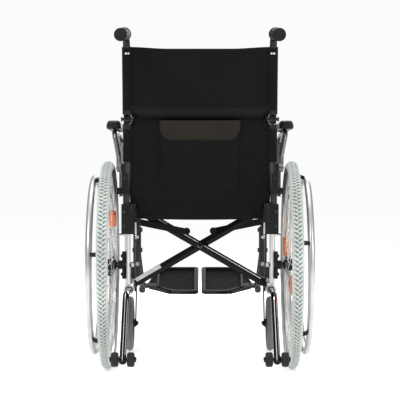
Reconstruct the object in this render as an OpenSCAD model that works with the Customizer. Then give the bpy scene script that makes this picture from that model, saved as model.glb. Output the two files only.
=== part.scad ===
/* [Rear wheels] */
// Outer diameter of the rear tyre
wheel_d = 610; // [580:1:620]
// Width of the rear tyre
tyre_w = 34; // [32:1:36]
// Distance from the chair's centre plane to the middle of a rear wheel
wheel_x = 270; // [268:1:276]
// Outer diameter of the handrim ring
handrim_d = 528; // [500:1:536]
// Diameter of the handrim tube
handrim_tube = 19; // [16:1:20]
// Distance from the centre plane to the middle of the handrim
handrim_x = 309; // [304:1:320]
// Number of spokes in one rear wheel
spokes = 36; // [36:36:36]

/* [Frame] */
// Distance from the centre plane to the lower rail
frame_x = 208; // [206:1:210]
// Height of the lower rail
rail_z = 232; // [230:1:234]
// Height of the seat rail
seat_rail_z = 473; // [471:1:475]
// Height of the upper rail of the side frame
upper_z = 440; // [438:1:441]
// Outer diameter of the frame tubes
tube_d = 22; // [20:0.5:22]
// Position of the front post ahead of the rear axle
front_y = 465; // [460:1:475]
// Thickness of a tube's wall
wall = 2; // [1.5:0.1:2.5]

/* [Back] */
// Backward lean of the backrest
recline = 10; // [8:0.5:11]
// Height of the backrest's half-folding hinge
fold_z = 732; // [728:1:736]
// Length of the upper back panel along the backrest
upper_len = 205; // [190:1:206]
// Diameter of a push grip
grip_d = 37; // [30:1:38]

/* [Seat and arms] */
// Gap from the centre plane to the edge of each seat half
seat_gap = 24; // [24:1:30]
// Gap from the centre plane to the edge of each back half
back_gap = 32; // [32:1:36]
// Length of a seat half, front to back
seat_len = 401; // [380:1:402]
// Length of an armrest pad
pad_len = 310; // [250:1:312]
// Width of an armrest pad
pad_w = 44; // [38:1:44]

/* [Casters and anti-tippers] */
// Diameter of a caster wheel
caster_d = 176; // [150:1:178]
// Width of a caster tyre
caster_w = 32; // [28:1:32]
// Diameter of an anti-tipper wheel
tip_d = 40; // [36:1:42]

/* [Footrests] */
// Toe-up slope of a footplate
foot_pitch = 24; // [20:1:26]
// Length of a footplate, heel to toe
foot_len = 175; // [160:1:176]

/* [Hidden] */

fit = 0.05;             // radial clearance of a running fit
wr = wheel_d / 2;
tr = tyre_w / 2;
sect_r = wr - tr;       // radius of the middle of the tyre's section
tube_r = tube_d / 2;
fx = frame_x;
post_x = 213;           // rear lower post
cane_x = 212;           // reclined back tube and the hinges on it
cane0 = 520;            // height where the back starts to lean
lean = tan(recline);
hinge_y = -(fold_z - cane0) * lean;
half_span = norm([fx, (seat_rail_z - rail_z) / 2]);
mid_z = (seat_rail_z + rail_z) / 2;
bar_angle = atan2(seat_rail_z - rail_z, 2 * fx);
cane_r = 10;
grip_tube_r = 10.5;
top_z = 976;
grip_end = [219.5, -251, 957];
stem = [228, front_y + 15];
caster_x = stem[0];
caster_y = stem[1] - 45;
cr = caster_d / 2;
tip_axle = [-364, 71];
arm_pivot = [0, 590];
brake_pivot = [335, 425];
foot_o = [198, 690, 186];
link_in = [41, 397];
link_out = [190, 426];
bar_b_y = 185;
oy = -((foot_o[1] + (foot_len - 40) * cos(foot_pitch) + 6 * sin(foot_pitch)) + (tip_axle[0] - tip_d / 2)) / 2;  // the rear axle stands behind the middle of the chair
bar_a_y = 205;

function unit(v) = v / norm(v);
function turn(u, v) = acos(max(-1, min(1, u * v)));
function lean_y(z) = -(z - cane0) * lean;

// a round bar from p to q
module rod(p, q, r) {
  v = q - p;
  translate(p) rotate([0, acos(v[2] / norm(v)), atan2(v[1], v[0])]) cylinder(h = norm(v), r = r, $fn = 64);
}

// a round bar through points, with its corners bent to radius b
module pipe(pts, r, b) {
  n = len(pts);
  u = [for (i = [0:n - 2]) unit(pts[i + 1] - pts[i])];
  t = [for (i = [0:n - 1]) i == 0 || i == n - 1 ? 0 : b * tan(turn(u[i - 1], u[i]) / 2)];
  for (k = [0:n - 2]) rod(pts[k] + u[k] * max(0, t[k] - 1.5), pts[k + 1] - u[k] * max(0, t[k + 1] - 1.5), r);
  for (m = [1:1:n - 2]) {
    a = u[m - 1];
    w = unit(u[m] - a * (a * u[m]));
    k = cross(a, w);
    c = pts[m] - a * t[m] + w * b;
    multmatrix([[-w[0], a[0], k[0], c[0]], [-w[1], a[1], k[1], c[1]], [-w[2], a[2], k[2], c[2]]])
      rotate_extrude(angle = turn(a, u[m]), $fn = 96) translate([b, 0]) circle(r = r + 0.15, $fn = 48);
  }
}

// everything is drawn for the right side, and mirrored for the left
module side(s) translate([0, oy, 0]) { if (s > 0) children(); else mirror([1, 0, 0]) children(); }
module box(a, b) translate(a) cube(b - a);
module across(y, z, x0, x1, r) rod([x0, y, z], [x1, y, z], r);
module along(x, z, y0, y1, r) rod([x, y0, z], [x, y1, z], r);
module leaned() translate([cane_x, hinge_y, fold_z]) rotate([recline, 0, 0]) children();
module wheel_turn(x, y, z) translate([x, y, z]) rotate([0, 90, 0]) rotate_extrude($fn = 180) children();
// a flat bar with round ends, drawn in the plane of its two points
module strap(p, q, r1, r2) {
  d = unit(q - p);
  k = [-d[1], d[0]];
  translate(p) circle(r = r1, $fn = 48);
  translate(q) circle(r = r2, $fn = 48);
  polygon([p + k * r1 * 0.995, q + k * r2 * 0.995, q - k * r2 * 0.995, p - k * r1 * 0.995]);
}
// a flat plate in the plane across the chair, from y0 to y1
module face_xz(y0, y1) translate([0, y1, 0]) rotate([90, 0, 0]) linear_extrude(y1 - y0) children();
// a flat plate in the plane along the chair, from x0 to x1, drawn as (y, z)
module face_yz(x0, x1) translate([x0, 0, 0]) rotate([90, 0, 90]) linear_extrude(x1 - x0) children();

cane = [[217, 0, 396], [217, 0, 515], [cane_x, lean_y(600), 600], [cane_x, hinge_y + 15.5 * sin(recline), fold_z - 15.5 * cos(recline)]];

// ---- side frame ----
module frame(s) color("dimgray") difference() {
  union() {
    along(fx, rail_z, -36, front_y - 4, tube_r);
    rod([205, front_y, 214], [205, front_y, 400], 12.5);
    pipe([[fx, front_y, 398.5], [fx, front_y, upper_z], [fx, 18.1, upper_z]], tube_r, 40);
    pipe(cane, cane_r, 60);
    leaned() { across(0, 0, -5, 5, 13); box([-5, -8, -26], [5, 8, 0]); }
    rod([stem[0], stem[1], 203], [stem[0], stem[1], 275], 15);
    box([207, front_y - 4, 222], [226, stem[1] + 4, 270]);
    link_bracket(s);
    box([fx - 3, 300, rail_z + 6], [fx + 3, 312, upper_z - 6]);
  }
  along(fx, rail_z, -37, 70, 9.25 + fit);
  along(fx, rail_z, 69, front_y - 14, tube_r - wall);
  rod([205, front_y, 213], [205, front_y, 384], 12.5 - wall);
  along(fx, upper_z, 17, front_y - 60, tube_r - wall);
  rod([217, 0, 395], [217, 0, 508], cane_r - wall);
  leaned() across(0, 0, -6, 6, 4 + fit);
  rod([stem[0], stem[1], 202], [stem[0], stem[1], 276], 6 + fit);
}
module link_bracket(s) {
  y0 = s < 0 ? 160 : 222.6;
  difference() {
    box([link_out[0] - 9, y0, link_out[1] - 9], [fx + 4, y0 + 7.4, upper_z + 5]);
    box([link_out[0] - 10, y0 - 1, upper_z - 2], [fx - 10, y0 + 9, upper_z + 6]);
  }
  along(link_out[0], link_out[1], s < 0 ? 160 : 215.6, s < 0 ? 174.4 : 230, 4);
}
module rear_post() color("silver") difference() {
  union() {
    rod([post_x, 0, rail_z], [post_x, 0, 395], 8.5);
    along(fx, rail_z, -18, 18, 14.5);
  }
  along(fx, rail_z, -19, 19, tube_r + fit);
  across(0, wr, 200, 230, 6.4);
}
module axle() {
  color("black") difference() {
    union() {
      box([221.6, -17, 264], [228.9, 17, 344]);
      across(0, wr, 229, 241, 13);
      across(0, wr, 242, 247.4, 9);
      across(0, wr + 26, 228.8, 232, 5);
      across(0, wr - 28, 228.8, 232, 5);
    }
    across(0, wr, 200, 250, 6.4);
    across(0, wr, 240.9, 242.1, 20);
  }
  color("silver") union() { across(0, wr, 199, 293, 6.3); across(0, wr, 290.6, 297, 10); across(0, wr, 196, 203, 8.2); }
}
module clamps() color("black") {
  // bracket that holds the back tube over the axle post, with its two knobs
  difference() {
    union() {
      box([191, -18, 395.2], [231, 18, 484]);
      along(223, 462, -25, -17, 7);
      along(223, 420, -23, -17, 6);
      box([186, -10, 426], [192, 10, 470]);
    }
    rod([217, 0, 394], [217, 0, 486], cane_r + fit);
  }
  // socket that the armrest turns on
  difference() {
    union() {
      box([209.5, -20, 513], [229.5, 18, 602]);
      across(arm_pivot[0], arm_pivot[1], 229, 245.5, 5);
      box([226, -14, 513], [245, 14, 532]);
    }
    pipe(cane, cane_r + fit, 60);
  }
  // cradles that the seat rail drops into
  for (y = [70, 340]) difference() {
    box([fx - 13, y - 12, upper_z - 8], [fx + 13, y + 12, seat_rail_z]);
    along(fx, upper_z, y - 13, y + 13, tube_r + fit);
    along(fx, seat_rail_z, y - 13, y + 13, tube_r + 0.4);
  }
  // brake's mounting plate and its pin
  difference() {
    union() {
      box([fx + 6, brake_pivot[0] - 16, brake_pivot[1] - 14], [226, brake_pivot[0] + 16, upper_z + 6]);
      across(brake_pivot[0], brake_pivot[1], 225, 243, 4);
    }
    along(fx, upper_z, 300, 380, tube_r + fit);
    box([fx, brake_pivot[0] - 17, 400], [fx + 11.2, brake_pivot[0] + 17, upper_z - 4]);
  }
}
module fasteners() color("silver") {
  leaned() { across(0, 0, -14, 14, 4); across(0, 0, -17, -13.9, 7); across(0, 0, 13.9, 17, 7); }
  for (z = [369]) difference() { along(206, z, front_y - 20, front_y - 8, 6.5); rod([205, front_y, z - 20], [205, front_y, z + 20], 12.6); }
  box([198, front_y - 17.6, 274], [209, front_y - 12.6, 286]);
  box([186.5, -22, 396], [190.9, -14, 430]);
}

// ---- backrest ----
module back_tube() color("lightgray") difference() {
  path = [[cane_x, hinge_y - 15.5 * sin(recline), fold_z + 15.5 * cos(recline)], [cane_x, lean_y(top_z), top_z], grip_end];
  union() {
    pipe(path, grip_tube_r, 45);
    leaned() for (x = [-10.5, 5.3]) { across(0, 0, x, x + 5.2, 13); box([x, -8, 0], [x + 5.2, 8, 26]); }
  }
  pipe([[cane_x, hinge_y - 12 * sin(recline), fold_z + 12 * cos(recline)], [cane_x, lean_y(top_z), top_z], grip_end + (grip_end - path[1]) * 0.02], grip_tube_r - wall, 45);
  leaned() { across(0, 0, -12, 12, 4 + fit); box([-5.3, -9, -1], [5.3, 9, 15]); }
}
module push_grip() color("black") {
  v = unit(grip_end - [cane_x, lean_y(top_z), top_z]);
  difference() {
    union() {
      rod(grip_end - v * 112, grip_end + v * 5, grip_d / 2 - 1);
      rod(grip_end - v * 112, grip_end - v * 104, grip_d / 2 + 1);
      rod(grip_end - v * 6, grip_end + v * 3, grip_d / 2);
      for (i = [0:6]) rod(grip_end - v * (98 - i * 13), grip_end - v * (90 - i * 13), grip_d / 2);
    }
    rod(grip_end - v * 113, grip_end + v * 0.1, grip_tube_r + fit);
  }
}
module back_upper() color([0.12, 0.12, 0.12]) leaned() difference() {
  union() {
    box([back_gap - cane_x, -3, 8], [-15, 3, upper_len + 5]);
    box([-16, -3, 28], [-8, 3, upper_len - 4]);
    rod([0, 0, 28], [0, 0, upper_len - 1], 14);
  }
  rod([0, 0, 20], [0, 0, upper_len + 9], grip_tube_r + 0.4);
}
module back_lower() color([0.12, 0.12, 0.12]) leaned() {
  box([back_gap - cane_x, -3, -246], [-22.5, 3, -8]);
  box([-23, -3, -126], [-14.5, 3, -8]);
  box([back_gap - cane_x, -3, -295], [-46, 3, -245]);
  box([back_gap - cane_x, -20, -204], [115 - cane_x, -2, -10]);
}

// ---- rear wheel ----
module tyre() color([0.72, 0.76, 0.74]) wheel_turn(wheel_x, 0, wr) difference() {
  translate([sect_r, 0]) circle(r = tr, $fn = 96);
  translate([sect_r - 30, -12 - fit]) square([22 + fit, 24 + 2 * fit]);
}
module rim() color("silver") wheel_turn(wheel_x, 0, wr)
  polygon([[sect_r - 26, -8], [sect_r - 23, -12], [sect_r - 8, -12], [sect_r - 8, -9], [sect_r - 18, -6], [sect_r - 18, 6], [sect_r - 8, 9], [sect_r - 8, 12], [sect_r - 23, 12], [sect_r - 26, 8]]);
module spoke_set() color("silver") {
  for (f = [-1, 1], k = [0:spokes / 2 - 1]) {
    a = 20 * k + (f > 0 ? 10 : 0);
    lead = k % 2 == 0 ? 1 : -1;
    b = a + 60 * lead;
    x0 = wheel_x - 0.65 + f * (lead > 0 ? 17.8 : 11.7);
    p = [x0, 22 * cos(a), wr + 22 * sin(a)];
    q = [wheel_x + f * 2, (sect_r - 26.2) * cos(b), wr + (sect_r - 26.2) * sin(b)];
    rod(p, q, 1);
    rod(q - unit(q - p) * 13, q - unit(q - p) * 0.5, 2);
  }
}
module hub() color("black") difference() {
  union() {
    across(0, wr, 248, 290, 12);
    across(0, wr, 256, 283, 17.5);
    across(0, wr, 253.5, 256.5, 25);
    across(0, wr, 282.2, 285.2, 25);
    across(0, wr, 248, 252, 16);
    across(0, wr, 286.5, 290, 16);
  }
  across(0, wr, 247, 291, 6.3 + fit);
}
module handrim(phase) {
  ring = handrim_d / 2 - handrim_tube / 2;
  color("silver") {
    wheel_turn(handrim_x, 0, wr) translate([ring, 0]) circle(r = handrim_tube / 2, $fn = 48);
    for (i = [0:5]) {
      a = phase + 60 * i;
      rod([wheel_x + 14.2, (sect_r - 21.5) * cos(a), wr + (sect_r - 21.5) * sin(a)], [handrim_x - 5, ring * cos(a), wr + ring * sin(a)], 4.5);
    }
  }
}
module reflectors(a) color("orangered") for (t = [a, a + 180])
  translate([wheel_x - 1, 0, wr]) rotate([-(90 - t), 0, 0]) box([-2.3, -28, 178], [2.3, 28, 200]);

// ---- caster ----
module caster_fork() color("black") union() {
  rod([stem[0], stem[1], 196], [stem[0], stem[1], 272], 6);
  rod([stem[0], stem[1], 190], [stem[0], stem[1], 201.5], 21);
  box([207, stem[1] - 14, 189], [249, stem[1] + 14, 198]);
  for (x = [207, 245]) face_yz(x, x + 4) { strap([stem[1], 186], [caster_y, cr], 14, 12); }
  across(caster_y, cr, 203, 253, 4);
  across(caster_y, cr, 202, 207.1, 8);
  across(caster_y, cr, 248.9, 254, 8);
}
module caster_tyre() color("gray") wheel_turn(caster_x, caster_y, cr) difference() {
  translate([cr - caster_w / 2, 0]) circle(r = caster_w / 2, $fn = 64);
  translate([0, -20]) square([62, 40]);
}
module caster_hub() color("black") wheel_turn(caster_x, caster_y, cr)
  polygon([[4 + fit, -16.4], [14, -16.4], [16, -7], [50, -5], [54, -10], [61.95, -11], [61.95, 11], [54, 10], [50, 5], [16, 7], [14, 16.4], [4 + fit, 16.4]]);

// ---- anti-tipper ----
module antitip_tube() color("silver") difference() {
  d = unit([tip_axle[0] + 200, tip_axle[1] - rail_z]);
  union() {
    pipe([[fx, 62, rail_z], [fx, -200, rail_z], [fx, tip_axle[0] + d[0] * 10, tip_axle[1] + d[1] * 10]], 9.25, 60);
    across(tip_axle[0], tip_axle[1], 175, 241, 4);
    across(tip_axle[0], tip_axle[1], 172, 175.8, 7.5);
    across(tip_axle[0], tip_axle[1], 240.4, 244, 7.5);
    across(tip_axle[0], tip_axle[1], 197.6, 219, 8.6);
  }
  along(fx, rail_z, -172, 63, 7.4);
}
module antitip_wheels() color([0.2, 0.2, 0.2]) for (x = [186.5, 229.8]) wheel_turn(x, tip_axle[0], tip_axle[1])
  polygon([[4 + fit, -10], [tip_d / 2 - 4, -10], [tip_d / 2 - 1, -8], [tip_d / 2, -5], [tip_d / 2, 5], [tip_d / 2 - 1, 8], [tip_d / 2 - 4, 10], [4 + fit, 10]]);

// ---- armrest ----
module arm_frame() color("dimgray") difference() {
  union() {
    across(arm_pivot[0], arm_pivot[1], 232.5, 244, 12);
    pipe([[238, 2, 594], [239, 18, 622], [253, 18, 696], [253, 285, 696], [240, 285, 622], [238, 285, 520]], 8, 22);
  }
  across(arm_pivot[0], arm_pivot[1], 230, 250, 5 + fit);
}
module arm_pad() color([0.1, 0.1, 0.1]) translate([255, 8 + pad_len, 704.4]) rotate([90, 0, 0]) linear_extrude(pad_len)
  polygon([[-pad_w / 2 + 2, 0], [pad_w / 2 - 2, 0], [pad_w / 2, 4], [pad_w / 2, 14], [pad_w / 2 - 6, 24], [pad_w / 2 - 10, 26.2], [-pad_w / 2 + 10, 26.2], [-pad_w / 2 + 6, 24], [-pad_w / 2, 14], [-pad_w / 2, 4]]);
module side_guard() color([0.08, 0.08, 0.08]) face_yz(236.5, 239.5) polygon([[30, 505], [268, 505], [276, 513], [276, 655], [264, 667], [44, 667], [32, 655]]);

// ---- brake ----
module brake() color("silver") difference() {
  b = brake_pivot;
  union() {
    across(b[0], b[1], 227, 241, 10);
    rod([236, b[0], b[1]], [236, b[0] - 5, b[1] + 112], 5);
    rod([236, b[0] - 4, b[1] + 95], [236, b[0] - 5.2, b[1] + 140], 8);
    rod([234, b[0], b[1]], [234, b[0] - 18, b[1] - 42], 6);
    across(b[0] - 18, b[1] - 42, 228, 286, 6);
  }
  across(b[0], b[1], 220, 245, 4 + fit);
}

// ---- footrest ----
module foot() translate(foot_o) rotate([foot_pitch, 0, 0]) children();
module hanger() color("dimgray") difference() {
  union() {
    for (z = [318, 384]) rod([205, front_y, z], [205, front_y, z + 14], 17);
    for (z = [322, 386]) box([199, front_y + 14, z], [211, front_y + 28, z + 9]);
    pipe([[205, front_y + 29, 402], [205, front_y + 29, 322], [200, 640, 222], [foot_o[0], foot_o[1] - 12, foot_o[2] + 5.5]], 10, 40);
    foot() rod([0, -22, 0], [0, 0, 0], 11);
    foot() rod([0, -10, 0], [0, 26, 0], 5);
  }
  for (z = [317]) rod([205, front_y, z], [205, front_y, z + 100], 12.5 + fit);
}
module footplate() color("black") foot() {
  g = 12.5 - foot_o[0];
  e = foot_len - 40;
  difference() {
    union() {
      rod([0, 0.4, 0], [0, 25, 0], 11);
      box([-52, 2, -5], [-6, 24, 3]);
      translate([0, 0, -6]) linear_extrude(14) polygon([[g, -40], [g, e], [-80, e], [-50, e - 30], [-50, -5], [-75, -24], [-105, -40]]);
    }
    translate([0, 0, -1]) linear_extrude(10) polygon([[g + 7, -33], [g + 7, e - 7], [-83, e - 7], [-57, e - 33], [-57, -9], [-78, -18], [-107, -33]]);
    rod([0, -1, 0], [0, 30, 0], 5 + fit);
  }
}

// ---- folding cross ----
module link(s) color([0.12, 0.12, 0.12]) face_xz(s < 0 ? 168 : 216, s < 0 ? 174 : 222) difference() {
  polygon([link_out + [10.5, 2], link_out + [4, 9.5], link_out + [-6, 8.9], link_in + [16, 12], link_in + [3, 9.5], link_in + [-7, 6.5], link_in + [-9.5, 0], link_in + [-7, -6.5], link_in + [3, -9.5], link_in + [18, -8], link_out + [-8, -12], link_out + [6, -9.5]]);
  translate(link_out) circle(r = 4 + fit, $fn = 48);
  translate(link_in) circle(r = 4, $fn = 48);
}
module seat() color([0.1, 0.1, 0.1]) box([seat_gap, 24, seat_rail_z + tube_r + 0.3], [212, 24 + seat_len, seat_rail_z + tube_r + 7]);
// one bar of the cross, drawn from its lower end on the left to its upper end on the right
module bar(y, y0, y1) {
  difference() {
    union() {
      translate([0, y, mid_z]) rotate([0, -bar_angle, 0]) {
        translate([-half_span + 13, 0, 0]) rotate([90, 0, 90]) linear_extrude(2 * half_span - 23)
          polygon([[-8.7, 0], [-6.3, -12.5], [6.3, -12.5], [8.7, 0], [6.3, 12.5], [-6.3, 12.5]]);
        along(57.8, 18, -8, 8, 11);
      }
      along(-fx, rail_z, y0, y1, 16);
      along(fx, seat_rail_z, 24, 430, tube_r);
    }
    along(-fx, rail_z, y0 - 1, y1 + 1, tube_r + fit);
    along(0, mid_z, y - 20, y + 20, 6 + fit);
    along(fx, seat_rail_z, 23, 431, tube_r - wall);
  }
}
module cross_a() color([0.14, 0.14, 0.14]) bar(bar_a_y, 196, 242);
module cross_b() color([0.14, 0.14, 0.14]) mirror([1, 0, 0]) bar(bar_b_y, 148, 194);
module centre() color("silver") {
  along(0, mid_z, 166, 224, 6);
  along(0, mid_z, 168, 175.6, 11);
  along(0, mid_z, 194.4, 195.6, 14);
  along(0, mid_z, 214.4, 222, 11);
}

side(-1) frame(-1);  // frame_l
side(1) frame(1);  // frame_r
side(-1) rear_post();  // rear_post_l
side(1) rear_post();  // rear_post_r
side(-1) axle();  // axle_l
side(1) axle();  // axle_r
side(-1) clamps();  // clamps_l
side(1) clamps();  // clamps_r
side(-1) fasteners();  // fasteners_l
side(1) fasteners();  // fasteners_r
side(-1) back_tube();  // back_tube_l
side(1) back_tube();  // back_tube_r
side(-1) push_grip();  // push_grip_l
side(1) push_grip();  // push_grip_r
side(-1) tyre();  // tyre_l
side(1) tyre();  // tyre_r
side(-1) rim();  // rim_l
side(1) rim();  // rim_r
side(-1) spoke_set();  // spokes_l
side(1) spoke_set();  // spokes_r
side(-1) hub();  // hub_l
side(1) hub();  // hub_r
side(-1) handrim(170.6);  // handrim_l
side(1) handrim(163.5);  // handrim_r
side(-1) reflectors(44);  // reflectors_l
side(1) reflectors(14);  // reflectors_r
side(-1) caster_fork();  // caster_fork_l
side(1) caster_fork();  // caster_fork_r
side(-1) caster_tyre();  // caster_tyre_l
side(1) caster_tyre();  // caster_tyre_r
side(-1) caster_hub();  // caster_hub_l
side(1) caster_hub();  // caster_hub_r
side(-1) antitip_tube();  // antitip_tube_l
side(1) antitip_tube();  // antitip_tube_r
side(-1) antitip_wheels();  // antitip_wheels_l
side(1) antitip_wheels();  // antitip_wheels_r
side(-1) arm_frame();  // arm_frame_l
side(1) arm_frame();  // arm_frame_r
side(-1) arm_pad();  // arm_pad_l
side(1) arm_pad();  // arm_pad_r
side(-1) side_guard();  // side_guard_l
side(1) side_guard();  // side_guard_r
side(-1) brake();  // brake_l
side(1) brake();  // brake_r
side(-1) hanger();  // hanger_l
side(1) hanger();  // hanger_r
side(-1) footplate();  // footplate_l
side(1) footplate();  // footplate_r
side(-1) link(-1);  // link_l
side(1) link(1);  // link_r
side(-1) seat();  // seat_l
side(1) seat();  // seat_r
side(-1) back_upper();  // back_upper_l
side(1) back_upper();  // back_upper_r
side(-1) back_lower();  // back_lower_l
side(1) back_lower();  // back_lower_r
side(1) cross_a();  // cross_bar_a
side(1) cross_b();  // cross_bar_b
side(1) centre();  // centre_bolt
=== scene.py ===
import bpy, bmesh, math
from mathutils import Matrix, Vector, noise


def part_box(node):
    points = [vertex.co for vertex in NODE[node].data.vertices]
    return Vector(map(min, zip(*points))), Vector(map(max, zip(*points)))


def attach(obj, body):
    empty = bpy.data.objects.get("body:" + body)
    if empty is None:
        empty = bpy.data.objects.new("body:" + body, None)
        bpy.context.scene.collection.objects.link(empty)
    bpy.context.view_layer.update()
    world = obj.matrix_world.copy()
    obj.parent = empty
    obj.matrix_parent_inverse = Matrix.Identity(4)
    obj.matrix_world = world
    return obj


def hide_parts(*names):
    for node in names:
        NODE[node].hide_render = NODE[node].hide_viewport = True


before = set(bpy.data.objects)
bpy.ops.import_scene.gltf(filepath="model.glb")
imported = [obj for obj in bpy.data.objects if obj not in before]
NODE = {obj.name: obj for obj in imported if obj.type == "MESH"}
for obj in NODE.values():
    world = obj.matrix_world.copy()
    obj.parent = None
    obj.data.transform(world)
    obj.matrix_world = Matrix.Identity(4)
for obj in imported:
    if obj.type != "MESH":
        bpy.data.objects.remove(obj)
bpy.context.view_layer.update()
SIDES = (("l", "left", -1), ("r", "right", 1))
lo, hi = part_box("hub_r")
OY = (lo.y + hi.y) / 2 * 1000
scene = bpy.context.scene


def W(x, y, z):
    """Chair millimetres to metres in the row frame."""
    return Vector((x, y + OY, z)) / 1000


# ---------------------------------------------------------------- camera
cam_data = bpy.data.cameras.new("camera")
cam = bpy.data.objects.new("camera", cam_data)
scene.collection.objects.link(cam)
cam.location = W(0, -4180, 559)
cam.rotation_euler = (math.radians(90 - 0.868), 0, 0)
cam_data.lens = 127.7
cam_data.sensor_width = 36
cam_data.clip_end = 100
scene.camera = cam


# ---------------------------------------------------------------- materials
class Mat:
    def __init__(self, name):
        self.m = bpy.data.materials.new(name)
        self.m.use_nodes = True
        self.t = self.m.node_tree
        self.b = self.t.nodes["Principled BSDF"]
        self.co = self.t.nodes.new("ShaderNodeTexCoord").outputs["Object"]

    def node(self, kind, **values):
        n = self.t.nodes.new("ShaderNode" + kind)
        for k, v in values.items():
            if hasattr(n, k):
                setattr(n, k, v)
            else:
                n.inputs[k.replace("_", " ")].default_value = v
        return n

    def link(self, a, b):
        self.t.links.new(a, b)

    def scaled(self, s):
        n = self.node("Mapping")
        n.inputs["Scale"].default_value = s
        self.link(self.co, n.inputs["Vector"])
        return n.outputs["Vector"]

    def noise(self, scale, detail=4.0, rough=0.55, co=None):
        n = self.node("TexNoise")
        n.inputs["Scale"].default_value = scale
        n.inputs["Detail"].default_value = detail
        n.inputs["Roughness"].default_value = rough
        self.link(co or self.co, n.inputs["Vector"])
        return n.outputs["Fac"]

    def ramp(self, fac, stops):
        n = self.node("ValToRGB")
        e = n.color_ramp.elements
        while len(e) < len(stops):
            e.new(0.5)
        for i, (p, c) in enumerate(stops):
            e[i].position = p
            e[i].color = (*c, 1) if hasattr(c, "__len__") else (c, c, c, 1)
        self.link(fac, n.inputs["Fac"])
        return n.outputs["Color"]

    def range(self, fac, a, b, lo, hi):
        n = self.node("MapRange")
        for k, v in zip(("From Min", "From Max", "To Min", "To Max"), (a, b, lo, hi)):
            n.inputs[k].default_value = v
        self.link(fac, n.inputs["Value"])
        return n.outputs["Result"]

    def math(self, op, a, b=None):
        n = self.node("Math", operation=op)
        self.link(a, n.inputs[0])
        if b is not None:
            if isinstance(b, (int, float)):
                n.inputs[1].default_value = b
            else:
                self.link(b, n.inputs[1])
        return n.outputs[0]

    def bump(self, height, strength, distance, before=None):
        n = self.node("Bump")
        n.inputs["Strength"].default_value = strength
        n.inputs["Distance"].default_value = distance
        self.link(height, n.inputs["Height"])
        if before is not None:
            self.link(before, n.inputs["Normal"])
        self.link(n.outputs["Normal"], self.b.inputs["Normal"])
        return n.outputs["Normal"]

    def set(self, **values):
        for k, v in values.items():
            s = self.b.inputs[k.replace("_", " ")]
            s.default_value = (*v, 1) if hasattr(v, "__len__") and len(v) == 3 else v
        return self

    def color(self, out):
        self.link(out, self.b.inputs["Base Color"])

    def rough(self, out):
        self.link(out, self.b.inputs["Roughness"])


def mix3(c, k):
    return tuple(min(1, x * k) for x in c)


def paint(name, base, rough=0.32, coat=0.25, dust=0.35, spec=0.3):
    m = Mat(name).set(Coat_Weight=coat, Coat_Roughness=0.18, Specular_IOR_Level=spec)
    big = m.noise(9, 5)
    m.color(m.ramp(big, [(0.3, mix3(base, 0.82)), (0.62, base), (0.8, mix3(base, 1 + dust))]))
    fine = m.noise(160, 6, 0.7)
    m.rough(m.range(fine, 0.3, 0.75, rough - 0.08, rough + 0.14))
    peel = m.bump(m.noise(420, 2), 0.12, 0.0004)
    scr = m.noise(60, 8, 0.75, m.scaled((1, 6, 1)))
    m.bump(m.ramp(scr, [(0.62, 0.0), (0.66, 1.0)]), 0.06, 0.0003, peel)
    return m.m


def metal(name, base, rough, brush=(1, 1, 14), strength=0.1, coat=0.0):
    m = Mat(name).set(Metallic=1.0)
    if coat:
        m.set(Coat_Weight=coat, Coat_Roughness=0.08)
    big = m.noise(14, 5)
    m.color(m.ramp(big, [(0.3, mix3(base, 0.86)), (0.6, base), (0.82, mix3(base, 1.07))]))
    lines = m.noise(210, 3, 0.6, m.scaled(brush))
    smudge = m.noise(30, 6, 0.65)
    m.rough(m.math("ADD", m.range(lines, 0.3, 0.7, rough * 0.72, rough * 1.15), m.range(smudge, 0.45, 0.8, 0.0, 0.09)))
    m.bump(lines, strength, 0.0003)
    return m.m


def painted_reflection_stripes(name):
    """Mirror-bright tube with a painted reflection: dark base colour with narrow light bands set by which way the
    surface faces, the look polished chrome has in a dark room.
    """
    m = Mat(name).set(Metallic=1.0)
    g = m.t.nodes.new("ShaderNodeTexCoord").outputs["Normal"]
    x = m.node("SeparateXYZ")
    m.link(g, x.inputs[0])
    f = m.range(x.outputs[0], -1.0, 1.0, 0.0, 1.0)
    # painted reflection: the light bands in this ramp stand in for bright strips mirrored in the chrome
    m.color(m.ramp(f, [(0.0, 0.05), (0.1, 0.02), (0.38, 0.012), (0.41, 0.85), (0.47, 0.9), (0.5, 0.015), (0.74, 0.012), (0.78, 0.75), (0.85, 0.92), (0.88, 0.03), (1.0, 0.02)]))
    m.rough(m.range(m.noise(60, 6, 0.7), 0.3, 0.75, 0.09, 0.2))
    return m.m


def plastic(name, base, rough=0.5, grain=900, strength=0.22, spec=0.4, bright=1.5):
    m = Mat(name).set(Specular_IOR_Level=spec)
    big = m.noise(16, 6, 0.6)
    m.color(m.ramp(big, [(0.35, mix3(base, 0.8)), (0.6, base), (0.85, mix3(base, bright))]))
    v = m.node("TexVoronoi", feature="F1")
    v.inputs["Scale"].default_value = grain
    m.link(m.co, v.inputs["Vector"])
    m.rough(m.range(m.noise(90, 5), 0.3, 0.7, rough - 0.09, rough + 0.1))
    g = m.bump(v.outputs["Distance"], strength, 0.0003)
    m.bump(m.noise(40, 3), 0.05, 0.001, g)
    return m.m


def rubber(name, base, rough=0.62, spec=0.3, dusty=1.35):
    m = Mat(name).set(Specular_IOR_Level=spec)
    big = m.noise(11, 7, 0.65)
    m.color(m.ramp(big, [(0.3, mix3(base, 0.84)), (0.55, base), (0.78, mix3(base, dusty))]))
    m.rough(m.range(m.noise(70, 5), 0.3, 0.7, rough - 0.1, rough + 0.12))
    m.bump(m.noise(700, 4, 0.7), 0.25, 0.0004)
    return m.m


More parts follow.
